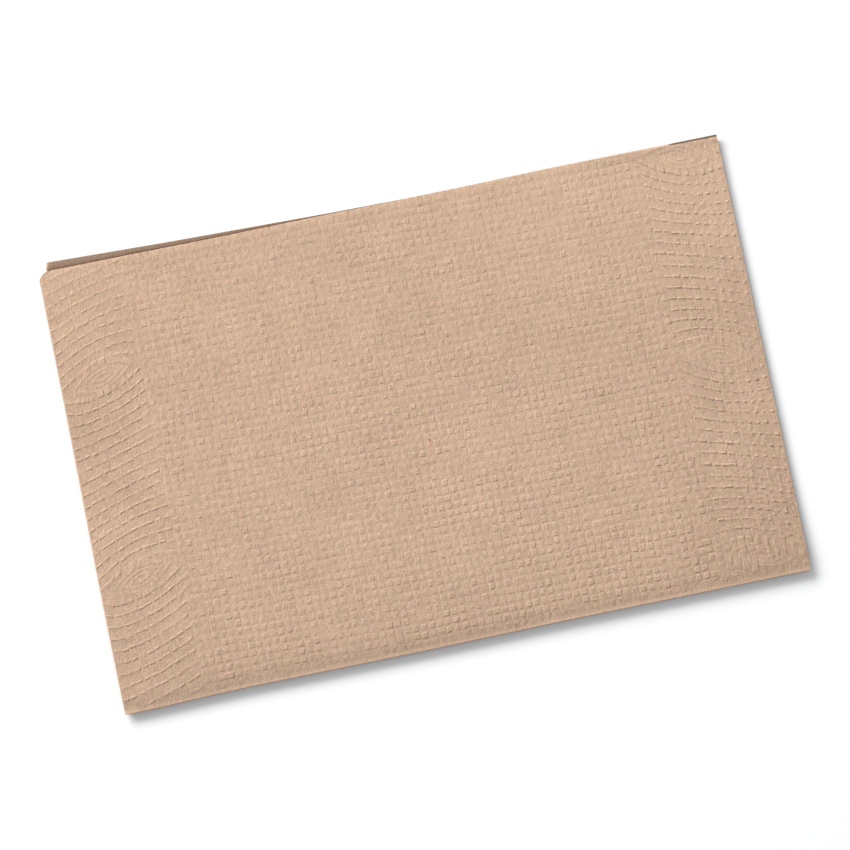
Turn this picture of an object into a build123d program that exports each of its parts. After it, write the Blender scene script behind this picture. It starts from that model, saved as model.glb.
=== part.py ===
from build123d import *
import os
from math import cos, exp, pi, radians, tan

# A paper napkin: one sheet folded twice into quarters, lying flat.
# Millimetres. X runs along the long edge, Y from the last fold to the open edge, Z up.

# The sheet as it is cut, with its bulk after creping and embossing
sheet_width = 330.0
sheet_length = 216.0
paper_thickness = 0.35

# The first fold runs along the left short edge and lays the sheet into a pair of layers
pair_gap = 0.12

# The last fold runs along the near long edge and lays the upper pair over the lower pair
fold_gap = 0.36
fold_off_centre = 0.30
fold_skew = 1.4

# The upper pair's corner at the end of the first fold is pushed in a little
corner_nip = 1.3

# Embossed borders on the upper face: raised ripple lines, rising towards the middle of the napkin
border_width = 20.0
border_inset = 0.5
ripple_pitch = 2.9
ripple_width = 0.7
ripple_height = 0.12
ripple_rise = 5.0

# Plain almond eyes that the ripple lines bend round, at a steady pitch along each border
eye_pitch = 49.3
left_eye_from_edge = 28.0
right_eye_from_edge = 52.6
eye_push = 3.0
eye_push_reach = 8.0
eye_half_lengths = [5.6, 3.2]
eye_half_heights = [2.5, 1.2]

# A pair of layers, and the paper that goes round the first fold
pair_height = 2 * paper_thickness + pair_gap
first_bend = pi * (paper_thickness + pair_gap) / 2
layer_width = (sheet_width - first_bend) / 2
folded_width = layer_width + pair_height / 2

# The paper that goes round the last fold, and how deep it leaves the two pairs
last_bend = pi * (pair_height + fold_gap) / 2
upper_depth = (sheet_length - last_bend) / 2 - fold_off_centre
lower_depth = (sheet_length - last_bend) / 2 + fold_off_centre
lower_lean = tan(radians(fold_skew))

# Places: the left and right edges, and the heights of the pairs' middles, the last fold's axis and the top
left_edge = -folded_width / 2
right_edge = folded_width / 2
lower_middle = pair_height / 2
upper_middle = lower_middle + pair_height + fold_gap
fold_axis_height = pair_height + fold_gap / 2
upper_face = upper_middle + pair_height / 2


def hairpin_section(height):
    """Two layers joined by a half-round at the first fold, standing across Y at a height."""
    outside = Circle(pair_height / 2) + Pos(layer_width / 2, 0) * Rectangle(layer_width, pair_height)
    inside = Circle(pair_gap / 2) + Pos(layer_width / 2, 0) * Rectangle(layer_width, pair_gap)
    across = Plane(origin=(left_edge + pair_height / 2, 0, height), x_dir=(1, 0, 0), z_dir=(0, 1, 0))
    return across * (outside - inside)


def plan_prism(corners, middle):
    """The outline of a pair seen from above, as high as the pair."""
    return extrude(Pos(0, 0, middle - pair_height / 2) * Polygon(*corners, align=None), amount=pair_height)


def lower_pair():
    """The pair that lies on the table. The last fold is out of square, so this pair leans to the right."""
    open_left = lower_depth - left_edge * lower_lean
    open_right = lower_depth - right_edge * lower_lean
    reach = open_left / cos(radians(fold_skew))
    leaning = extrude(hairpin_section(lower_middle), amount=reach, dir=(lower_lean, 1, 0))
    outline = [(left_edge, 0), (right_edge, 0), (right_edge, open_right), (left_edge, open_left)]
    return leaning & plan_prism(outline, lower_middle)


def last_fold():
    """Both layers of the pair going round the last fold together."""
    axis = Axis((0, 0, fold_axis_height), (-1, 0, 0))
    return revolve(hairpin_section(lower_middle), axis=axis, revolution_arc=180)


def upper_pair():
    """The pair on top, with its pushed-in corner."""
    straight = extrude(hairpin_section(upper_middle), amount=upper_depth)
    outline = [
        (left_edge, 0),
        (right_edge, 0),
        (right_edge, upper_depth),
        (left_edge + corner_nip, upper_depth),
        (left_edge, upper_depth - corner_nip),
    ]
    return straight & plan_prism(outline, upper_middle)


def eye_places(first_from_edge):
    """Y of the eyes of one border, from beyond the open edge to beyond the last fold."""
    count = int(upper_depth / eye_pitch) + 2
    return [upper_depth - first_from_edge + eye_pitch * (1 - number) for number in range(count + 1)]


def ripple_curve(base, middle, slope, eyes, shift):
    """One side of a ripple line: a slanted line, pushed aside at its middle by the eyes near it."""
    half = border_width / 2
    push = 0
    for eye in eyes:
        side = 1 if base > eye else -1
        push += side * eye_push * exp(-abs(base - eye) / eye_push_reach)
    start = (middle - half, base - slope * half + shift)
    control = (middle, base + 2 * push + shift)
    end = (middle + half, base + slope * half + shift)
    return Bezier(start, control, end)


def ripple_face(base, middle, slope, eyes):
    """The plan of one ripple line, as wide as the raised line is."""
    near = ripple_curve(base, middle, slope, eyes, -ripple_width / 2)
    far = ripple_curve(base, middle, slope, eyes, ripple_width / 2)
    return make_face([near, Line(near @ 1, far @ 1), far, Line(far @ 0, near @ 0)])


def almond(half_length, half_height):
    """A pointed oval made of two arcs."""
    over = ThreePointArc((-half_length, 0), (0, half_height), (half_length, 0))
    under = ThreePointArc((-half_length, 0), (0, -half_height), (half_length, 0))
    return make_face([over, under])


def eye_rings(place, middle, slope):
    """Nested almond rings, each as wide as a ripple line, tilted as the lines are."""
    rings = []
    for half_length, half_height in zip(eye_half_lengths, eye_half_heights):
        outer = almond(half_length, half_height)
        inner = almond(half_length - 2 * ripple_width, half_height - ripple_width)
        rings.append(Pos(middle, place) * Rot(0, 0, slope * 180 / pi) * (outer - inner))
    return rings


def border_emboss(middle, slope, first_from_edge):
    """The raised lines of one border, kept inside the flat part of the upper face."""
    eyes = eye_places(first_from_edge)
    bases = []
    for eye in eyes:
        lines = round(eye_pitch / ripple_pitch)
        bases += [eye - eye_pitch * (number + 0.5) / lines for number in range(lines)]
    faces = [ripple_face(base, middle, slope, eyes) for base in bases]
    for eye in eyes:
        faces += eye_rings(eye, middle, slope)
    low_x = left_edge + pair_height / 2 + border_inset
    high_x = right_edge - border_inset
    flat = Polygon(
        (low_x, border_inset),
        (high_x, border_inset),
        (high_x, upper_depth - border_inset),
        (low_x + corner_nip, upper_depth - border_inset),
        (low_x, upper_depth - border_inset - corner_nip),
        align=None,
    )
    lines = []
    for face in faces:
        for piece in (flat & face).faces():
            lines.append(extrude(Pos(0, 0, upper_face) * piece, amount=ripple_height, dir=(0, 0, 1)))
    return lines


# The folded sheet, with its raised border lines
slope = ripple_rise / border_width
napkin = lower_pair() + last_fold() + upper_pair()
napkin += border_emboss(left_edge + border_width / 2, slope, left_eye_from_edge)
napkin += border_emboss(right_edge - border_width / 2, -slope, right_eye_from_edge)

# The origin is under the middle of the folded napkin
extent = napkin.bounding_box()
napkin = Pos(-extent.center().X, -extent.center().Y, -extent.min.Z) * napkin
napkin.label = "napkin"

os.makedirs("parts", exist_ok=True)
export_step(napkin, "parts/napkin.step")
print("napkin", napkin.bounding_box().size, "volume", napkin.volume, "solids", len(napkin.solids()))
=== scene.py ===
import math
import bmesh
import bpy
import numpy as np
from mathutils import Matrix, Vector


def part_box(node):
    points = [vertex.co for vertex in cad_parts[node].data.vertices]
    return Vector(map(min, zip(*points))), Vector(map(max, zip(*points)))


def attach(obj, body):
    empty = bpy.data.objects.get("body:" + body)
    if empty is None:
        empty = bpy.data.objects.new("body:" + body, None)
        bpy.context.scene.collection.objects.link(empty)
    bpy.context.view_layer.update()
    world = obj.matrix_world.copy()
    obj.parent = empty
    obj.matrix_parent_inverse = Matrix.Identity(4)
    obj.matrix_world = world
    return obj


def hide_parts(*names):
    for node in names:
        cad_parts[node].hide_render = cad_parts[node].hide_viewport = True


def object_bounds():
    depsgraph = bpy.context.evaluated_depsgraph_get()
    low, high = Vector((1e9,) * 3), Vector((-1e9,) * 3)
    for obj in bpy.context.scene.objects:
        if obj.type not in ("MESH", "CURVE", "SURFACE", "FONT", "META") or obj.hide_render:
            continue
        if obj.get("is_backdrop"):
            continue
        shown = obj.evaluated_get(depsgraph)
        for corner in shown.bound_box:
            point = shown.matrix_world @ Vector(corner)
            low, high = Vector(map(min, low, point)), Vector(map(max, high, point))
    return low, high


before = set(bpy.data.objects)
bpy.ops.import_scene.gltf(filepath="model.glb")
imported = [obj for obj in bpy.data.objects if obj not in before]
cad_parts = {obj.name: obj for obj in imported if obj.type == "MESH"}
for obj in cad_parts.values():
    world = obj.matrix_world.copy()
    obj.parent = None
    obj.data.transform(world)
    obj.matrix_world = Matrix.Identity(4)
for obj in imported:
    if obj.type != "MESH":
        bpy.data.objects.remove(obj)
cadBox = [list(corner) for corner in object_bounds()]
nodeLow, nodeHigh = [np.array(corner) * 1000 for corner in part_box("napkin")]  # millimetres
mm = 0.001
print("frame loaded, napkin solid", (nodeHigh - nodeLow).round(2), "mm")


# The sheet, in millimetres. Across is measured from the first fold: plus on the outer layer, minus on the
# inner one. Along is measured from the last fold: plus on the upper pair, minus on the lower pair.
napkin = {
    "cut": (330.0, 216.0),
    "paper": 0.16,             # plain tissue, before embossing
    "layerPitch": 0.47,        # middle to middle of the two layers of a pair
    "creaseLayerPitch": 0.32,  # the same, pressed together at the first fold
    "layerEase": 3.0,          # the layers spread over about this distance from the first fold
    "pinch": (0.88, 2.3),      # how much they close up at the last fold, and over what distance
    "tableGap": 0.09,          # the lowest layer lies this far off the table
    "pairPitch": 1.40,         # middle to middle of the two pairs
    "creasePairPitch": 0.095,  # the same at the last fold
    "creaseThin": (0.85, 1.5),  # the paper is pressed thinner there: share and reach
    "creaseHeight": 1.41,      # the last fold stands off the table
    "creaseLead": 0.165,       # and this far forward
    # beside it the paper dips: at the left, at the right, and more at the left tip
    "creaseGroove": (0.08, 0.12, 0.15),
    "grooveTip": (0.8, 3.5),   # the tip's own dip fades out between these places
    "grooveReach": 1.3,        # the dip is deepest this far from the fold
    # shares of the upper pair's rise from the last fold, with their reach
    "upperRise": ((0.15, 2.5), (0.85, 10.0)),
    "lowerFall": 0.9,          # the lower pair drops to the table over this distance
    "offCentre": 0.15,         # the last fold lies this far from the middle of the cut
    "lean": 1.06,              # degrees that the lower pair leans, the last fold being out of square
    "show": (2.1, 104.0, 1.4),  # the lower pair's open edge stands out at the first fold, hides here, power
    "lipStart": 0.05,          # its turned-up margin starts this far under the upper pair
    "lipSlope": (0.60, 1.05),  # at the first fold, and where the margin is narrow
    "lipSlopeEnds": (20, 55),  # between these places across
    "lipFade": 20,             # the margin lies flat again over this distance
    "lipTip": (-0.6, 0.5),     # and right at the first fold
    "lowerNip": (0.95, 1.9, 2.5),  # its corner at the first fold is set back: width, depth and reach
    "lipPower": 0.45,          # how the margin curves up
    "lipShares": (0, 0.22, 0.45, 0.68, 0.86, 1.0),  # mesh rows on the turned-up margin
    "nip": (1.85, 1.9),        # pushed-in corner of the upper pair
    "nipPower": 1.8,           # its roundness
    "nipReach": 3.0,           # the push fades over this distance
    "edgeLead": (0.07, 0.04),  # the upper pair's open edge: out at the nip and at the right, hollow between
    "edgeLeadEnds": ((0, 15), (125, 150)),
    "hollow": 0.17,
    "hollowEnds": ((12, 45), (105, 122)),
    "recess": 0.36,            # at the right the outer layer stops short, and the inner one turns up
    "recessStart": 153.3,
    "recessEase": (-0.4, 0.6),
    "flapLift": 0.42,          # height and width of the turned-up part
    "flapWidth": 0.12,
    "flapThin": 0.7,           # its edge loses this share of the paper
    "flare": (0.20, 0.45),     # the right edge runs out of square: at the open edge and at the last fold
    "leftBulge": (0.12, 0.28),  # the first fold swells a little, more beside the last fold
    "bulgeEnds": (25, 75),     # the extra swelling fades out between these places along
    "bulgeEase": (0.5, 12),    # and is less right at the last fold: share and reach
    "bulgeReach": 40,
    "foldBow": (0.60, 0.30),   # the last fold bows out at the left and in at the right
    "bowOutReach": 32,
    "bowInEnds": (70, 110),
    "bowEase": 15,
    "edgeRoll": (0.09, 0.45),  # the open edge rolls over: height and width
    "edgeLift": (0.22, 2.6),   # and stands up a little at the right
    "edgeLiftEnds": (110, 160),
    "settle": (1.04, 40.0),    # the upper pair lies lower at the right edge, over this distance
    "settleEase": 12,          # but not at the last fold
    "settledLayers": 0.60,     # the layers lie closer there
    "settledWaves": 0.6,       # and are less uneven
    "waves": ((0.16, 38, 3), (0.08, 17, 4), (0.03, 6, 5)),  # slow unevenness: height, size and seed
    "waveEase": 8,
    "pucker": (0.07, 4, 8),    # small puckers beside the last fold: height, size and seed
    "puckerStretch": 2.5,
    "puckerReach": 9,
    "puckerStart": (1.5, 6),
    "edgeSnap": 0.06,          # mesh lines closer than this to the sheet's edge are moved onto it
    "cutAngle": 60,            # sharper edges than this are cut edges
}
layerWidth = napkin["cut"][0] / 2
alongTop = napkin["cut"][1] / 2 - napkin["offCentre"]
alongBottom = alongTop - napkin["cut"][1]
firstRadius = napkin["creaseLayerPitch"] / 2
lastRadius = napkin["creasePairPitch"] / 2
firstBend = firstRadius * math.pi / 2    # half the paper in each bend
lastBend = lastRadius * math.pi / 2

# Embossing: small pips in the middle field, and dashed ripple lines in a border at each short edge
emboss = {
    "pipPitch": 1.94,          # along the long edge
    "pipColumns": (-0.72, -0.46, 0.46, 0.72),       # base and top edges of a pip
    "dashColumns": (-0.80, -0.60, 0.60, 0.80),      # of a dash in the borders
    "beadColumns": (-0.55, -0.25, 0.25, 0.55),      # and of the short beads near the right edge
    "pipRowShift": (0.005, -0.22, 0.22, -0.005),    # moves four evenly spaced mesh rows to a pip's edges
    "firstPip": 1.08,          # middle of the first one, from the first fold
    "linePitch": 2.9,          # ripple lines, six mesh rows apart
    "lineRowShift": (0, -0.10, 0.06, 0, -0.06, 0.10),  # draws the rows beside a crest closer to it
    "strayShares": (0, 0.5, 1, 1, 1, 0.5),  # how far each of these rows strays with its dash
    "innerEase": 40,           # the rows run level again on the hidden inner layer
    "border": 20.3,            # width of the borders
    "slope": 0.28,             # the lines rise from the left edge and fall to the right edge
    "eyePitch": 49.3,          # plain almond eyes that the lines bend round
    "leftEye": 28.0,           # from the open edge
    "eyeRow": 169,             # mesh row through the first left eye
    "eyeRowRight": 118,
    "eyePush": 2.9,            # how far the lines part, and over what distance from the eye
    "eyeReach": 13.0,
    "rings": ((7.2, 2.75), (4.7, 1.75), (2.4, 0.80)),  # half length and half height of the nested almonds
    "ringWidth": 0.45,
    "eyeBox": (7.8, 3.3),
    "eyeCuts": ((1, 0.4, 3), (0, 0.7, 2)),  # finer mesh there: direction, longest edge and cuts
    "pipHeight": 0.047,
    "pipSpread": (0.30, 0.1, 2),  # uneven strength: spread, least and most
    "pipJoins": (0.035, 0.03),    # share of pips that run into a neighbour, across and along
    "joinHeight": 0.8,
    "pipCorners": (0.8, 1.2),     # a pip's corners differ a little
    "strength": (0.78, 0.25, 0.35),  # of the pips: everywhere, more at the right, more near the last fold
    "foldStrength": (0.25, 14),   # and more again beside it: share and reach
    "fromFold": (0.3, 3.0),       # they start between these places along
    "patches": (0.15, 11, 6),     # weaker and stronger places: share, size and seed
    "underLines": 0.75,           # the right border's pips lose this share to its lines
    "lineHeight": 0.105,
    "lineWeights": (1.02, 1.32),  # in the left and right border
    "leftLinesFade": (0.30, 80.0, 104.0),  # the left lines weaken near the open edge: share, from, to
    "dashStrength": (0.75, 1.20),  # of one dash
    "dashCorners": (0.85, 1.15),   # its corners differ a little
    "rightLinesFrom": (6.0, 11.0),  # the right border's lines fade out above the last fold
    "dashStray": 0.10,         # a dash lies this far off its line at most
    "dashGaps": ((-0.5, 0.8), (-0.4, 0.6)),  # what is left of a line between its dashes, in each border
    "beads": 11.0,             # the beads start this far from the right edge
    "ringHeight": 0.07,
    "crepe": (0.012, 2.5),     # small unevenness of the whole face: height and limit
    "rightCrepe": (1.2, 148, 160),  # more of it at the right: share, from, to
    "cornerCrepe": (2.5, (125, 155), (50, 15)),  # and in the near right corner
    "stray": (0.08, 1.6),      # the places of pips and lines are uneven too
    "drift": (0.28, 12.0),     # and wander slowly, over this distance
    "strayMargin": 0.6,        # but not at the open edge and the last fold
    "strayFade": 3,            # or at the short edges
    "crispAngle": 12.0,        # sharper edges than this stay crisp on pips and lines
    "seed": 11,
}
rowsPerLine = len(emboss["lineRowShift"])
rowsPerPip = len(emboss["pipRowShift"])
columnsPerPip = len(emboss["pipColumns"])
rowStep = emboss["linePitch"] / rowsPerLine


def softNoise(x, y, size, seed):
    # value noise, smooth, from -1 to 1
    table = np.random.default_rng(seed).uniform(-1, 1, (64, 64))
    gx, gy = x / size + 20, y / size + 20
    ix, iy = np.floor(gx).astype(int), np.floor(gy).astype(int)
    fx, fy = gx - ix, gy - iy
    fx, fy = fx * fx * (3 - 2 * fx), fy * fy * (3 - 2 * fy)
    ix, iy = ix % 63, iy % 63
    low = table[ix, iy] * (1 - fx) + table[ix + 1, iy] * fx
    high = table[ix, iy + 1] * (1 - fx) + table[ix + 1, iy + 1] * fx
    return low * (1 - fy) + high * fy


def smoothStep(low, high, value):
    t = np.clip((value - low) / (high - low), 0, 1)
    return t * t * (3 - 2 * t)


# Mesh columns: wide ones on the hidden inner layer, fine ones round the first fold, then four to a pip
hiddenColumns = np.concatenate([
    [-layerWidth, -159.0, -154.4, -153.0],
    [-140, -110, -70, -32, -26, -20],
    [-9, -4, -1.6, -0.7],
])
foldColumns = firstBend * np.linspace(-1, 1, 7)
pipCount = int((layerWidth - emboss["firstPip"] - emboss["pipColumns"][-1]) / emboss["pipPitch"]) + 1
pipCentres = emboss["firstPip"] + emboss["pipPitch"] * np.arange(pipCount)
fromShortEdge = np.minimum(pipCentres, layerWidth - pipCentres)[:, None]
pipEdges = np.where(fromShortEdge < emboss["border"], emboss["dashColumns"], emboss["pipColumns"])
pipEdges = np.where(layerWidth - pipCentres[:, None] < emboss["beads"], emboss["beadColumns"], pipEdges)
pipColumns = pipCentres[:, None] + pipEdges
columns = np.concatenate([hiddenColumns, foldColumns, pipColumns.ravel(), [layerWidth]])
firstPipColumn = len(hiddenColumns) + len(foldColumns)

# Mesh rows: wide ones on the lower pair, fine ones round the last fold, then four to a pip; in the borders
# they slope, so there are spare ones past the open edge
spareRows = 9
lipRows = alongBottom + 2 * np.array(napkin["lipShares"])
lowerRows = np.concatenate([
    lipRows,
    alongBottom + np.array([4.0, 7.0]),
    np.linspace(-90, -12, 5),
    [-6, -3.2, -1.7, -0.8, -lastBend - 0.08],
])
foldRows = lastBend * np.linspace(-1, 1, 9)
foldTop = 0.6
eyeBase = alongTop - emboss["leftEye"] + emboss["slope"] * emboss["border"] / 2
firstPipPlace = eyeBase - rowStep * emboss["eyeRow"]
pipRowCount = int((alongTop + spareRows - firstPipPlace) / rowStep)
pipRows = firstPipPlace + rowStep * np.arange(pipRowCount)
rows = np.concatenate([lowerRows, foldRows, [lastBend + 0.08, foldTop], pipRows])
firstPipRow = len(lowerRows) + len(foldRows) + 2
columnIndex = np.arange(len(columns)) - firstPipColumn
rowIndex = np.arange(len(rows)) - firstPipRow
print("mesh lines", len(columns), "by", len(rows))

# Eyes: across and along of the middle, and the slope of the lines there
borderMiddles = (emboss["border"] / 2, layerWidth - emboss["border"] / 2)
leftEyes = [alongTop - emboss["leftEye"] - emboss["eyePitch"] * k for k in (0, 1)]
eyeLag = rowStep * (emboss["eyeRow"] - emboss["eyeRowRight"])
rightEyes = [leftEyes[0] - eyeLag + emboss["eyePitch"] * k for k in (-1, 0, 1)]
eyes = [(borderMiddles[0], place, emboss["slope"]) for place in leftEyes]
eyes += [(borderMiddles[1], place, -emboss["slope"]) for place in rightEyes]


def borders(across):
    # how far each column belongs to the left and the right border
    width = emboss["border"]
    left = 1 - smoothStep(width - 1.0, width + 0.2, across)
    right = 1 - smoothStep(width - 1.0, width + 0.2, layerWidth - across)
    return left, right


def eyePush(base, places):
    # rows part round an eye, evenly inside it and less and less beyond it
    inside = emboss["linePitch"] / 2
    total = np.zeros_like(base)
    for place in places:
        gap = base - place
        beyond = np.maximum(np.abs(gap) - inside, 0)
        total += np.clip(gap / inside, -1, 1) * np.exp(-beyond / emboss["eyeReach"])
    return emboss["eyePush"] * total


def showing(reach):
    # how far the lower pair's open edge stands out beyond the upper pair's
    show, hideAt, power = napkin["show"]
    share = 1 - reach / hideAt
    return show * np.sign(share) * np.abs(share) ** power


def lipDepth(reach):
    return np.maximum(showing(reach), 0) + napkin["lipStart"]


def pastRecess(across):
    start, (before, after) = napkin["recessStart"], napkin["recessEase"]
    return smoothStep(start + before, start + after, across)


def openEdge(across):
    # the sheet's edge at the upper pair
    reach = np.abs(across)
    leftLead, rightLead = napkin["edgeLead"]
    leftEnds, rightEnds = napkin["edgeLeadEnds"]
    edge = alongTop + leftLead * (1 - smoothStep(*leftEnds, reach))
    edge = edge + rightLead * smoothStep(*rightEnds, reach)
    leftEnds, rightEnds = napkin["hollowEnds"]
    edge = edge - napkin["hollow"] * smoothStep(*leftEnds, reach) * (1 - smoothStep(*rightEnds, reach))
    return edge - napkin["recess"] * pastRecess(across)


def turnedUp(across, along):
    # the inner layer's flap at the right of the open edge
    edge = openEdge(across)
    return pastRecess(-across) * smoothStep(edge - napkin["flapWidth"], edge, along)


def dashTable(low, high, seed):
    # one value for every dash of every ripple line, looked up by mesh vertex
    def look(eyeRow, late=0):
        i = np.clip((columnIndex + late) // columnsPerPip, 0, pipCount - 1)[:, None]
        return table[i, ((rowIndex - eyeRow) // rowsPerLine)[None, :]]

    table = np.random.default_rng(seed).uniform(low, high, (pipCount, 2 * len(rows)))
    return look


def drawRows():
    # along-place of every mesh vertex: straight rows in the field, ripple rows in the borders
    half, slope = emboss["border"] / 2, emboss["slope"]
    across, even = columns[:, None], rows[None, :]
    base = even - slope * half
    shift = np.where(across < 0, slope * 2 * half * np.clip(-across / emboss["innerEase"], 0, 1), 0)
    shift = shift * np.ones_like(even)
    for middle, side, places in zip(borderMiddles, (1, -1), (leftEyes, rightEyes)):
        offMiddle = np.clip((across - middle) / half, -1, 1)
        swell = 1 - offMiddle ** 2
        shift += slope * half * (side * offMiddle - 1) + eyePush(base, places) * swell
    left, right = borders(across)
    shift += (1 - left - right) * np.array(emboss["pipRowShift"])[rowIndex % rowsPerPip]
    dashShift = dashTable(-emboss["dashStray"], emboss["dashStray"], emboss["seed"] + 2)
    nearCrest = np.array(emboss["strayShares"])
    for weight, eyeRow in ((left, emboss["eyeRow"]), (right, emboss["eyeRowRight"])):
        part = (rowIndex - eyeRow) % rowsPerLine
        shift += weight * (np.array(emboss["lineRowShift"])[part] + nearCrest[part] * dashShift(eyeRow))
    along = even + shift * (rowIndex >= 0)
    along[:, :len(lipRows)] = alongBottom + lipDepth(np.abs(across)) * np.array(napkin["lipShares"])
    return along


def pipPattern(rng):
    # pips of uneven strength, some of them run together with a neighbour
    rowPips = pipRowCount // rowsPerPip + 3
    spread, least, most = emboss["pipSpread"]
    strength = np.clip(rng.normal(1, spread, (pipCount + 2, rowPips + 2)), least, most)
    shareAcross, shareAlong = emboss["pipJoins"]
    joinAcross = (rng.uniform(0, 1, strength.shape) < shareAcross) * emboss["joinHeight"]
    joinAlong = (rng.uniform(0, 1, strength.shape) < shareAlong) * emboss["joinHeight"]
    bridgeAcross = joinAcross * np.minimum(strength, np.roll(strength, -1, 0))
    bridgeAlong = joinAlong * np.minimum(strength, np.roll(strength, -1, 1))
    i = np.clip(columnIndex // columnsPerPip + 1, 0, pipCount + 1)[:, None]
    j = np.clip(rowIndex // rowsPerPip + 1, 0, rowPips + 1)[None, :]
    part, rowPart = (columnIndex % columnsPerPip)[:, None], (rowIndex % rowsPerPip)[None, :]
    top, rowTop = np.isin(part, (1, 2)), np.isin(rowPart, (1, 2))
    pips = np.where(top & rowTop, strength[i, j], 0)
    pips = np.where((part == 0) & rowTop, bridgeAcross[i - 1, j], pips)
    pips = np.where((part == 3) & rowTop, bridgeAcross[i, j], pips)
    pips = np.where(top & (rowPart == 0), bridgeAlong[i, j - 1], pips)
    pips = np.where(top & (rowPart == 3), bridgeAlong[i, j], pips)
    return pips * rng.uniform(*emboss["pipCorners"], pips.shape)


def embossHeights(along):
    # raised height of every mesh vertex on the outer side of the paper
    rng = np.random.default_rng(emboss["seed"])
    across = columns[:, None]
    left, right = borders(across)
    plain, toRight, toFold = emboss["strength"]
    atFold, foldReach = emboss["foldStrength"]
    patch, patchSize, patchSeed = emboss["patches"]
    gain = plain + toRight * across / layerWidth + toFold * (1 - along / alongTop)
    gain = gain + atFold * np.exp(-np.abs(along) / foldReach)
    gain = gain * (1 + patch * softNoise(across + 0 * along, along, patchSize, patchSeed))
    gain = gain * smoothStep(*emboss["fromFold"], along)
    rightLines = right * smoothStep(*emboss["rightLinesFrom"], along)
    weaker, fadeFrom, fadeTo = emboss["leftLinesFade"]
    leftLines = left * (1 - weaker * smoothStep(fadeFrom, fadeTo, along))
    heights = emboss["pipHeight"] * gain * pipPattern(rng) * (1 - left - emboss["underLines"] * rightLines)
    part = (columnIndex % columnsPerPip)[:, None]
    beads = across > layerWidth - emboss["beads"]
    dashStrength = dashTable(*emboss["dashStrength"], emboss["seed"] + 3)
    zones, eyeRows = (leftLines, rightLines), (emboss["eyeRow"], emboss["eyeRowRight"])
    for zone, weight, eyeRow, gaps in zip(zones, emboss["lineWeights"], eyeRows, emboss["dashGaps"]):
        crest = (rowIndex - eyeRow) % rowsPerLine == rowsPerLine // 2
        between = np.maximum(dashTable(*gaps, emboss["seed"] + 4)(eyeRow, 1), 0) * ~beads
        dash = np.where(np.isin(part, (1, 2)), 1, between) * dashStrength(eyeRow)
        dash = dash * rng.uniform(*emboss["dashCorners"], heights.shape)
        heights += emboss["lineHeight"] * weight * zone * dash * crest[None, :]
    more, moreFrom, moreTo = emboss["rightCrepe"]
    rough = 1 + more * smoothStep(moreFrom, moreTo, across)
    more, endsAcross, endsAlong = emboss["cornerCrepe"]
    rough = rough + more * smoothStep(*endsAcross, across) * smoothStep(*endsAlong, along)
    crepe, limit = emboss["crepe"]
    heights += crepe * rough * np.clip(rng.normal(size=heights.shape), -limit, limit)
    return heights * embossedLines()


def embossedLines():
    # mesh vertices that lie in the embossed face
    inPips = (columnIndex >= 0) & (columnIndex < columnsPerPip * pipCount)
    return inPips[:, None] & (rowIndex >= 0)[None, :]


def eyeRings(across, along):
    # nested almond rings, from 0 beside them to 1 on their crests
    total = np.zeros_like(across)
    for middle, place, slope in eyes:
        off = across - middle
        drift = along - place - slope * off
        for halfLength, halfHeight in emboss["rings"]:
            bow = halfHeight * (1 - (off / halfLength) ** 2)
            steepness = 2 * halfHeight * off / halfLength ** 2
            side = np.abs(np.abs(drift) - bow) / np.hypot(1, steepness)
            tip = np.hypot(np.abs(off) - halfLength, drift)
            gap = np.where(np.abs(off) < halfLength, side, tip)
            total = np.maximum(total, smoothStep(emboss["ringWidth"], 0, gap))
    return total


def inEye(place):
    reachAcross, reachAlong = emboss["eyeBox"]
    for middle, along, slope in eyes:
        off = place.x - middle
        if abs(off) < reachAcross and abs(place.y - along - slope * off) < reachAlong:
            return True
    return False


def refineEyes(shape):
    # the sheet is still flat here; its mesh gets finer inside the eyes, first along and then across
    for direction, longest, cuts in emboss["eyeCuts"]:
        chosen = []
        for edge in shape.edges:
            first, second = edge.verts[0].co, edge.verts[1].co
            step = second - first
            wide = abs(step[direction]) > max(longest, abs(step[1 - direction]))
            if wide and first.z > 0 and second.z > 0 and inEye(first) and inEye(second):
                chosen.append(edge)
        bmesh.ops.subdivide_edges(shape, edges=chosen, cuts=cuts, use_grid_fill=True)


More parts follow.
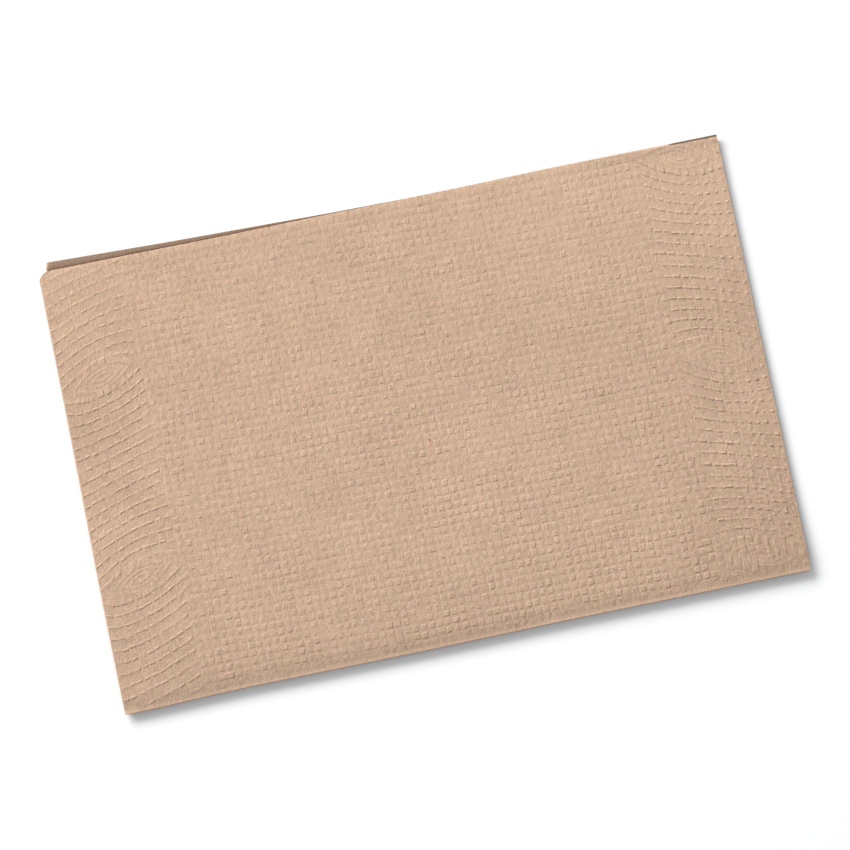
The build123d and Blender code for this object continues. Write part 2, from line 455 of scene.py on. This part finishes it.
def foldSheet(across, along, lift):
    # lift is the height over the middle of the paper; the result is in millimetres in the napkin's own frame
    width = nodeHigh[0] - nodeLow[0]
    reach = np.abs(across)
    turn = np.clip(across / firstRadius, -math.pi / 2, math.pi / 2)
    beyond = np.maximum(reach - firstBend, 0)
    spread = (napkin["layerPitch"] / 2 - firstRadius) * (1 - np.exp(-beyond / napkin["layerEase"]))
    close, closeReach = napkin["pinch"]
    pinch = 1 - close * np.exp(-(along / closeReach) ** 2)
    press, pressReach = napkin["settle"]
    settle = smoothStep(layerWidth - pressReach, layerWidth, reach)
    settle = settle * (1 - np.exp(-np.abs(along) / napkin["settleEase"]))
    closer = napkin["settledLayers"] * settle
    x = nodeLow[0] + firstRadius + napkin["paper"] / 2 + beyond - (firstRadius + lift) * np.cos(turn)
    rise = (firstRadius * np.sin(turn) + np.sign(across) * spread) * pinch * (1 - closer)
    rise = rise + lift * np.sin(turn)

    # both pairs leave the last fold in its own height, and ease to theirs
    upper = np.where(along > 0, 1.0, 0.0)
    lowerMiddle = napkin["tableGap"] + (napkin["layerPitch"] + napkin["paper"]) / 2
    upperMiddle = lowerMiddle + napkin["pairPitch"]
    turn = np.clip(along / lastRadius, -math.pi / 2, math.pi / 2)
    beyond = np.maximum(np.abs(along) - lastBend, 0)
    y = nodeLow[1] + lastRadius + (napkin["layerPitch"] * (1 - close) + napkin["paper"]) / 2
    y = y + beyond - (lastRadius + rise) * np.cos(turn)
    z = napkin["creaseHeight"] + (lastRadius + rise) * np.sin(turn)
    climb = sum(share * (1 - np.exp(-beyond / ease)) for share, ease in napkin["upperRise"])
    z = z + upper * (upperMiddle - napkin["creaseHeight"] - lastRadius) * climb
    fall = napkin["creaseHeight"] - lastRadius - lowerMiddle
    z = z - (1 - upper) * fall * (1 - np.exp(-beyond / napkin["lowerFall"]))
    z = z - upper * press * settle - (1 - upper) * closer * napkin["layerPitch"] / 2

    # the lower pair leans, and its open edge slants until it goes under the upper pair
    lower = (1 - upper) * beyond
    lean = math.tan(math.radians(napkin["lean"]))
    x = x + lean * lower * (1 - (x - nodeLow[0]) / width)
    y = y + (openEdge(-reach) + showing(reach) + alongBottom) * lower / -alongBottom

    # its margin is turned up, but not at the first fold
    fromEdge = np.clip(1 - (along - alongBottom) / lipDepth(reach), 0, 1) * (1 - upper)
    hideAt = napkin["show"][1]
    wideSlope, narrowSlope = napkin["lipSlope"]
    lipSlope = wideSlope + (narrowSlope - wideSlope) * smoothStep(*napkin["lipSlopeEnds"], reach)
    lip = lipSlope * lipDepth(reach) * fromEdge ** napkin["lipPower"]
    lip = lip * (1 - smoothStep(hideAt - napkin["lipFade"], hideAt, reach))
    z = z + lip * smoothStep(*napkin["lipTip"], reach)
    nipWidth, nipDepth, nipReach = napkin["lowerNip"]
    corner = np.clip(1 - (along - alongBottom) / nipDepth, 0, 1) * (1 - upper)
    x = x + nipWidth * corner * np.exp(-(x - nodeLow[0]) / nipReach)

    # the upper pair's corner is pushed in, and the side edges swell and flare
    nipWidth, nipHeight = napkin["nip"]
    corner = np.clip(1 - (openEdge(across) - along) / nipHeight, 0, 1) ** napkin["nipPower"] * upper
    x = x + nipWidth * corner * np.exp(-(x - nodeLow[0]) / napkin["nipReach"])
    atEdge, atFold = napkin["flare"]
    x = x + (x - nodeLow[0]) / width * (atFold + (atEdge - atFold) * beyond / alongTop)
    bulge, moreBulge = napkin["leftBulge"]
    less, lessReach = napkin["bulgeEase"]
    moreBulge = moreBulge * (1 - smoothStep(*napkin["bulgeEnds"], beyond))
    bulge = bulge + moreBulge * (1 - less * np.exp(-beyond / lessReach))
    x = x - bulge * (1 - smoothStep(0, napkin["bulgeReach"], reach)) * (1 - corner)
    bowOut, bowIn = napkin["foldBow"]
    bow = bowIn * smoothStep(*napkin["bowInEnds"], reach)
    bow = bow - bowOut * (1 - smoothStep(0, napkin["bowOutReach"], reach))
    y = y + (bow - napkin["creaseLead"]) * np.exp(-beyond / napkin["bowEase"])

    # slow unevenness of the upper pair, small puckers and a dip at the last fold, and its open edge
    ease = 1 - np.exp(-beyond / napkin["waveEase"])
    wave = sum(height * softNoise(x, y, size, seed) for height, size, seed in napkin["waves"])
    height, size, seed = napkin["pucker"]
    pucker = height * softNoise(x, y / napkin["puckerStretch"], size, seed)
    pucker = pucker * np.exp(-beyond / napkin["puckerReach"]) * smoothStep(*napkin["puckerStart"], beyond)
    leftGroove, rightGroove, tipGroove = napkin["creaseGroove"]
    groove = leftGroove + (rightGroove - leftGroove) * reach / layerWidth
    groove = groove + tipGroove * (1 - smoothStep(*napkin["grooveTip"], reach))
    intoDip = beyond / napkin["grooveReach"]
    groove = groove * intoDip * np.exp(1 - intoDip)
    fromEdge = openEdge(across) - along
    height, size = napkin["edgeRoll"]
    roll = height * smoothStep(size, 0, fromEdge) * (across > 0)
    height, size = napkin["edgeLift"]
    stand = height * smoothStep(size, 0, fromEdge) * smoothStep(*napkin["edgeLiftEnds"], reach)
    z = z + upper * ((ease - napkin["settledWaves"] * settle) * wave + pucker - groove - roll + stand)
    z = z + upper * napkin["flapLift"] * turnedUp(across, along)
    return np.stack([x, y, z], -1)


def gridFaces(columnPick, rowPick, belowField, pastEdge, start):
    # vertex numbers and faces of one side of the sheet; rows outside the upper pair share its border vertices
    number = np.zeros((len(columnPick), len(rowPick)), int)
    keep = []
    for i, column in enumerate(columnPick):
        for j, row in enumerate(rowPick):
            if j and (belowField[column, row] or pastEdge[column, rowPick[j - 1]]):
                number[i, j] = number[i, j - 1]
            else:
                number[i, j] = start + len(keep)
                keep.append((column, row))
    faces = []
    for i in range(len(columnPick) - 1):
        for j in range(len(rowPick) - 1):
            ring = [number[i, j], number[i + 1, j], number[i + 1, j + 1], number[i, j + 1]]
            face = [n for k, n in enumerate(ring) if n != ring[k - 1]]
            if len(face) > 2:
                faces.append(face)
    return number, np.array(keep).T, faces


def rimFaces(outerLine, innerLine, picks, flip):
    # closes the cut edge between the two sides of the paper
    faces = []
    for k in range(len(picks) - 1):
        stretch = list(outerLine[picks[k]:picks[k + 1] + 1])
        ring = [innerLine[k]] + stretch + [innerLine[k + 1]]
        ring = [n for m, n in enumerate(ring) if n != ring[m - 1]]
        if len(ring) > 2:
            faces.append(ring[::-1] if flip else ring)
    return faces


def flatSheet():
    # the sheet before it is folded: across, along and lift of its vertices, and its faces
    along = drawRows()
    edge = openEdge(columns)[:, None]
    pastEdge = along >= edge - napkin["edgeSnap"]
    along = np.where(pastEdge, edge, along)
    belowField = (along <= foldTop + napkin["edgeSnap"]) & (rowIndex >= 0)[None, :]
    hemRow = int((~pastEdge[0]).sum()) - 1
    flap = columns < -napkin["recessStart"]
    along[flap, hemRow] = openEdge(columns[flap]) - napkin["flapWidth"]
    lift = np.maximum(napkin["paper"] / 2 + embossHeights(along), napkin["paper"] / 4)

    # pips and lines are not placed quite evenly
    margin, fade = emboss["strayMargin"], emboss["strayFade"]
    free = embossedLines() & (along > foldTop + margin) & (along < edge - margin)
    most, limit = emboss["stray"]
    scatter = np.random.default_rng(emboss["seed"] + 1).normal(size=(2,) + free.shape)
    stray = most * np.clip(scatter, -limit, limit)
    wander, size = emboss["drift"]
    driftAcross = wander * softNoise(columns[:, None] + 0 * along, along, size, emboss["seed"] + 5)
    driftAlong = wander * softNoise(columns[:, None] + 0 * along, along, size, emboss["seed"] + 6)
    free = free * smoothStep(0, fade, columns)[:, None] * smoothStep(0, fade, layerWidth - columns)[:, None]
    across = columns[:, None] + (stray[0] + driftAcross) * free
    along = along + (stray[1] + driftAlong) * free

    # the outer side has every line, the inner side only those that the folds need
    allColumns, allRows = np.arange(len(columns)), np.arange(len(rows))
    foldEnd, recessReach, lastFoldEnd = 3.2, 0.9, 6
    needed = (columns < foldEnd) | (allColumns == len(columns) - 1) | (columnIndex % (2 * columnsPerPip) == 0)
    innerColumns = allColumns[needed | (np.abs(columns - napkin["recessStart"]) < recessReach)]
    needed = (rows < lastFoldEnd) | (allRows == len(rows) - 1) | (rowIndex % (2 * rowsPerPip) == 0)
    innerRows = allRows[needed | (allRows == hemRow) | (allRows == hemRow - 1)]
    outer, outerAt, outerFaces = gridFaces(allColumns, allRows, belowField, pastEdge, 0)
    inner, innerAt, innerFaces = gridFaces(innerColumns, innerRows, belowField, pastEdge, len(outerAt[0]))
    faces = outerFaces + [face[::-1] for face in innerFaces]
    faces += rimFaces(outer[:, -1], inner[:, -1], innerColumns, False)
    faces += rimFaces(outer[:, 0], inner[:, 0], innerColumns, True)
    faces += rimFaces(outer[-1, :], inner[-1, :], innerRows, True)
    faces += rimFaces(outer[0, :], inner[0, :], innerRows, False)
    outerPoints = np.stack([field[outerAt[0], outerAt[1]] for field in (across, along, lift)], -1)
    innerLift = np.full_like(lift, -napkin["paper"] / 2)
    innerPoints = np.stack([field[innerAt[0], innerAt[1]] for field in (across, along, innerLift)], -1)
    return np.concatenate([outerPoints, innerPoints]), faces


def makeNapkin():
    points, faces = flatSheet()
    mesh = bpy.data.meshes.new("napkinSheet")
    mesh.from_pydata(points.tolist(), [], faces)
    shape = bmesh.new()
    shape.from_mesh(mesh)
    refineEyes(shape)

    # emboss the eyes, thin the flap's edge and fold
    across, along, lift = np.array([vertex.co for vertex in shape.verts]).T
    outside = lift > 0
    lift = lift + emboss["ringHeight"] * eyeRings(across, along) * outside
    thinner, reach = napkin["creaseThin"]
    lift = lift * (1 - napkin["flapThin"] * turnedUp(across, along))
    lift = lift * (1 - thinner * np.exp(-(along / reach) ** 2))
    folded = foldSheet(across, along, lift) * mm
    for vertex, place in zip(shape.verts, folded):
        vertex.co = place

    # cut edges and the steep sides of pips and lines stay crisp
    shape.verts.index_update()
    shape.normal_update()
    embossed = outside & (across > firstBend) & (along > foldTop)
    crisp, cut = math.radians(emboss["crispAngle"]), math.radians(napkin["cutAngle"])
    for face in shape.faces:
        face.smooth = True
    for edge in shape.edges:
        raised = all(embossed[vertex.index] for vertex in edge.verts)
        edge.smooth = edge.calc_face_angle(0) < (crisp if raised else cut)
    shape.to_mesh(mesh)
    shape.free()
    piece = bpy.data.objects.new("napkinSheet", mesh)
    bpy.context.collection.objects.link(piece)
    triangles = sum(len(face.vertices) - 2 for face in mesh.polygons)
    print("napkin sheet", len(mesh.vertices), "vertices,", triangles, "triangles")
    return piece


# Unbleached brown tissue: soft mottling, fine grain, short fibres and a few specks, with spots of painted
# shade and painted light
paper = {
    "light": (0.614, 0.4205, 0.2965, 1),
    "dark": (0.335, 0.2195, 0.150, 1),
    "pink": (0.512, 0.315, 0.232, 1),
    "straw": (0.462, 0.333, 0.200, 1),
    "streakSize": (0.8, 2.4),  # pinkish and yellowish streaks
    "streakTints": (("pink", 0.72), ("straw", 0.28)),  # each is full at this noise value
    "streakStrength": 0.6,
    "speck": (0.110, 0.060, 0.035, 1),
    "mottleSize": 9.0,         # millimetres
    "grainSize": 0.48,
    "fineSize": 0.24,
    "crepeSize": (0.42, 1.9),  # fine ridges along the sheet
    "fibreSize": (2.4, 0.20),
    "fibreTurns": (25, -50, 80),
    "fibreEnds": (0.62, 0.78),
    "fibreStrength": 0.5,
    "toneShares": {"grain": 0.28, "crepe": 0.38, "fine": 0.19, "mottle": 0.15},
    "toneEnds": (0.32, 0.68),  # dark and light ends of the tone
    "reliefShares": {"grain": 0.7, "crepe": 0.5, "fibres": 0.5},
    "speckSpacing": 7.0,
    "speckSize": 0.024,        # share of the spacing
    "speckRarity": 0.72,
    "strayPlace": (0.9, -6.15, 0),  # one red fibre
    "straySize": (0.55, 0.13, 9.0),
    "strayTurn": 78,
    "strayColour": (0.27, 0.04, 0.03, 1),
    # spots of painted shade and painted light: middle, half size, strength and colour. In order: darker at
    # the near right corner;
    # painted shade along the right edge, the left edge, beside the last fold, lower on the right edge and on
    # the left border;
    # painted light towards the far right corner at the open edge; painted shade on the lower pair's turned-up
    # margin beyond the upper pair's open edge
    "paintedShadeAndLight": (
        ((80, -48, 0), (34, 26, 50), 0.45, "dark"),
        ((82, 10, 0), (14, 26, 50), 0.22, "dark"),
        ((-80, 14, 0), (16, 24, 50), 0.22, "dark"),
        ((-10, -56, 0), (110, 18, 50), 0.16, "dark"),
        ((84, -28, 0), (13, 24, 50), 0.22, "dark"),
        ((-76, -46, 0), (26, 20, 50), 0.12, "dark"),
        ((66, 46, 0), (62, 36, 50), 0.32, "light"),
        ((-78, 54.5, 0), (80, 1.75, 50), 0.45, "dark"),
    ),
    "paintedSpotEnds": (1, 0.2),    # they fade in between these shares of their half size
    "roughness": 0.93,
    "specular": 0.15,
    "bumpDepth": 0.12,
}


def makePaper():
    material = bpy.data.materials.new("kraftTissue")
    material.use_nodes = True
    nodes, links = material.node_tree.nodes, material.node_tree.links
    shader = nodes["Principled BSDF"]
    shader.inputs["Roughness"].default_value = paper["roughness"]
    shader.inputs["Specular IOR Level"].default_value = paper["specular"]
    place = nodes.new("ShaderNodeTexCoord").outputs["Object"]

    def feed(socket, value):
        if hasattr(value, "is_output"):
            links.new(value, socket)
        else:
            socket.default_value = value

    def placed(size, turn=0, middle=(0, 0, 0)):
        mapping = nodes.new("ShaderNodeMapping")
        mapping.vector_type = "TEXTURE"
        mapping.inputs["Location"].default_value = [part * mm for part in middle]
        mapping.inputs["Rotation"].default_value = (0, 0, math.radians(turn))
        mapping.inputs["Scale"].default_value = [part * mm for part in size]
        links.new(place, mapping.inputs["Vector"])
        return mapping.outputs["Vector"]

    def noise(size, detail, turn=0):
        wide, narrow = size if isinstance(size, tuple) else (size, size)
        texture = nodes.new("ShaderNodeTexNoise")
        texture.inputs["Scale"].default_value = 1
        texture.inputs["Detail"].default_value = detail
        links.new(placed((wide, narrow, narrow), turn), texture.inputs["Vector"])
        return texture.outputs["Fac"]

    def blend(first, second, amount):
        node = nodes.new("ShaderNodeMix")
        node.data_type = "RGBA"
        feed(node.inputs["Factor"], amount)
        feed(next(s for s in node.inputs if s.name == "A" and s.type == "RGBA"), first)
        feed(next(s for s in node.inputs if s.name == "B" and s.type == "RGBA"), second)
        return next(s for s in node.outputs if s.type == "RGBA")

    def ramp(value, low, high):
        node = nodes.new("ShaderNodeMapRange")
        node.inputs["From Min"].default_value = low
        node.inputs["From Max"].default_value = high
        links.new(value, node.inputs["Value"])
        return node.outputs["Result"]

    def distance(vector):
        node = nodes.new("ShaderNodeVectorMath")
        node.operation = "LENGTH"
        links.new(vector, node.inputs[0])
        return node.outputs["Value"]

    def work(kind, first, second):
        node = nodes.new("ShaderNodeMath")
        node.operation = kind
        feed(node.inputs[0], first)
        feed(node.inputs[1], second)
        return node.outputs["Value"]

    # colour: mottle and grain, spots of painted shade and painted light, lighter fibres, dark specks and the
    # red fibre
    mottle = noise(paper["mottleSize"], 3)
    grain = noise(paper["grainSize"], 2)
    crepe = noise(paper["crepeSize"], 2)
    fine = noise(paper["fineSize"], 0)
    share = paper["toneShares"]
    tone = work("ADD", work("MULTIPLY", grain, share["grain"]), work("MULTIPLY", crepe, share["crepe"]))
    tone = work("ADD", tone, work("MULTIPLY", fine, share["fine"]))
    tone = work("ADD", tone, work("MULTIPLY", mottle, share["mottle"]))
    colour = blend(paper["dark"], paper["light"], ramp(tone, *paper["toneEnds"]))
    streaks = noise(paper["streakSize"], 1)
    for tint, full in paper["streakTints"]:
        amount = work("MULTIPLY", ramp(streaks, 0.5, full), paper["streakStrength"])
        colour = blend(colour, paper[tint], amount)
    # spots of painted shade and painted light, blended into the paper's colour; the near right corner is
    # simply darker
    for spotPlace, spotSize, strength, tint in paper["paintedShadeAndLight"]:
        near = ramp(distance(placed(spotSize, 0, spotPlace)), *paper["paintedSpotEnds"])
        colour = blend(colour, paper[tint], work("MULTIPLY", near, strength))
    fibres = None
    for turn in paper["fibreTurns"]:
        strand = noise(paper["fibreSize"], 1, turn)
        fibres = strand if fibres is None else work("MAXIMUM", fibres, strand)
    amount = work("MULTIPLY", ramp(fibres, *paper["fibreEnds"]), paper["fibreStrength"])
    colour = blend(colour, paper["light"], amount)
    cells = nodes.new("ShaderNodeTexVoronoi")
    cells.inputs["Scale"].default_value = 1 / (paper["speckSpacing"] * mm)
    links.new(place, cells.inputs["Vector"])
    pick = nodes.new("ShaderNodeSeparateColor")
    links.new(cells.outputs["Color"], pick.inputs["Color"])
    spot = work("LESS_THAN", cells.outputs["Distance"], paper["speckSize"])
    spot = work("MULTIPLY", spot, work("GREATER_THAN", pick.outputs["Red"], paper["speckRarity"]))
    colour = blend(colour, paper["speck"], spot)
    strayField = placed(paper["straySize"], paper["strayTurn"], paper["strayPlace"])
    colour = blend(colour, paper["strayColour"], work("LESS_THAN", distance(strayField), 1))
    links.new(colour, shader.inputs["Base Color"])

    # the same grain and fibres in relief
    bump = nodes.new("ShaderNodeBump")
    bump.inputs["Distance"].default_value = paper["bumpDepth"] * mm
    bump.inputs["Strength"].default_value = 1
    share = paper["reliefShares"]
    relief = work("ADD", work("MULTIPLY", grain, share["grain"]), work("MULTIPLY", crepe, share["crepe"]))
    relief = work("ADD", relief, work("MULTIPLY", fibres, share["fibres"]))
    links.new(relief, bump.inputs["Height"])
    links.new(bump.outputs["Normal"], shader.inputs["Normal"])
    print("paper material ready")
    return material


sheet = makeNapkin()
sheet.data.materials.append(makePaper())
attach(sheet, "root")
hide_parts("napkin")


# Pale floor, a big soft light low beyond the open edge, and a little light from all round
studio = {
    "floorSize": 4.0,
    "floorColour": (0.83, 0.812, 0.797, 1),
    "floorRoughness": 0.9,
    "keyAzimuth": 34.0,        # degrees to the left of straight beyond
    "keyElevation": 24.0,
    "keyDistance": 2.6,
    "keySize": (2.6, 1.0),
    "keyPower": 140.0,
    "skyColour": (0.91, 0.955, 1.0, 1),
    "skyStrength": 0.62,
}


def makeStudio():
    bpy.ops.object.select_all(action="DESELECT")
    bpy.ops.mesh.primitive_plane_add(size=studio["floorSize"], location=(0, 0, 0))
    floor = bpy.context.object
    floor.name = "floor"
    material = bpy.data.materials.new("paleFloor")
    material.use_nodes = True
    shader = material.node_tree.nodes["Principled BSDF"]
    shader.inputs["Base Color"].default_value = studio["floorColour"]
    shader.inputs["Roughness"].default_value = studio["floorRoughness"]
    shader.inputs["Specular IOR Level"].default_value = 0.0
    floor.data.materials.append(material)
    floor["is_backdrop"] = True
    turn, height = math.radians(studio["keyAzimuth"]), math.radians(studio["keyElevation"])
    level = math.cos(height)
    towards = Vector((-math.sin(turn) * level, math.cos(turn) * level, math.sin(height)))
    bpy.ops.object.light_add(type="AREA", location=studio["keyDistance"] * towards)
    key = bpy.context.object
    key.data.shape = "RECTANGLE"
    key.data.size, key.data.size_y = studio["keySize"]
    key.data.energy = studio["keyPower"]
    key.rotation_euler = (-towards).to_track_quat("-Z", "Y").to_euler()
    world = bpy.data.worlds.new("softRoom")
    world.use_nodes = True
    sky = world.node_tree.nodes["Background"]
    sky.inputs["Color"].default_value = studio["skyColour"]
    sky.inputs["Strength"].default_value = studio["skyStrength"]
    bpy.context.scene.world = world
    bpy.context.scene.view_settings.view_transform = "Standard"
    print("studio ready")


# The camera stands far off, nearly overhead, and is rolled so that the long edge rises to the right
camera = {
    "distance": 2.0,
    "azimuth": -2.177,
    "elevation": 79.337,
    "roll": -9.482,
    "target": (0.000471, -0.002021, 0.001),
    "pixelsPerMetre": 4209.7,
    "imageSize": 850,
    "sensor": 36.0,
    "farthest": 20,
}


def makeCamera():
    turn, height, roll = (math.radians(camera[k]) for k in ("azimuth", "elevation", "roll"))
    back = Vector((math.sin(turn) * math.cos(height), -math.cos(turn) * math.cos(height), math.sin(height)))
    right = Vector((math.cos(turn), math.sin(turn), 0))
    up = back.cross(right)
    rolledRight = math.cos(roll) * right + math.sin(roll) * up
    rolledUp = back.cross(rolledRight)
    data = bpy.data.cameras.new("camera")
    data.sensor_width = camera["sensor"]
    data.lens = camera["sensor"] * camera["distance"] * camera["pixelsPerMetre"] / camera["imageSize"]
    data.clip_end = camera["farthest"]
    viewer = bpy.data.objects.new("camera", data)
    bpy.context.collection.objects.link(viewer)
    viewer.matrix_world = (
        Matrix.Translation(Vector(camera["target"]) + camera["distance"] * back)
        @ Matrix((rolledRight, rolledUp, back)).transposed().to_4x4()
    )
    bpy.context.scene.camera = viewer
    print("camera lens", round(data.lens, 1), "mm")


makeStudio()
makeCamera()

visualBox = [list(corner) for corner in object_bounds()]
for name, box in (("cad", cadBox), ("visual", visualBox)):
    print(name, "box in mm", (np.array(box) * 1000).round(2).tolist())
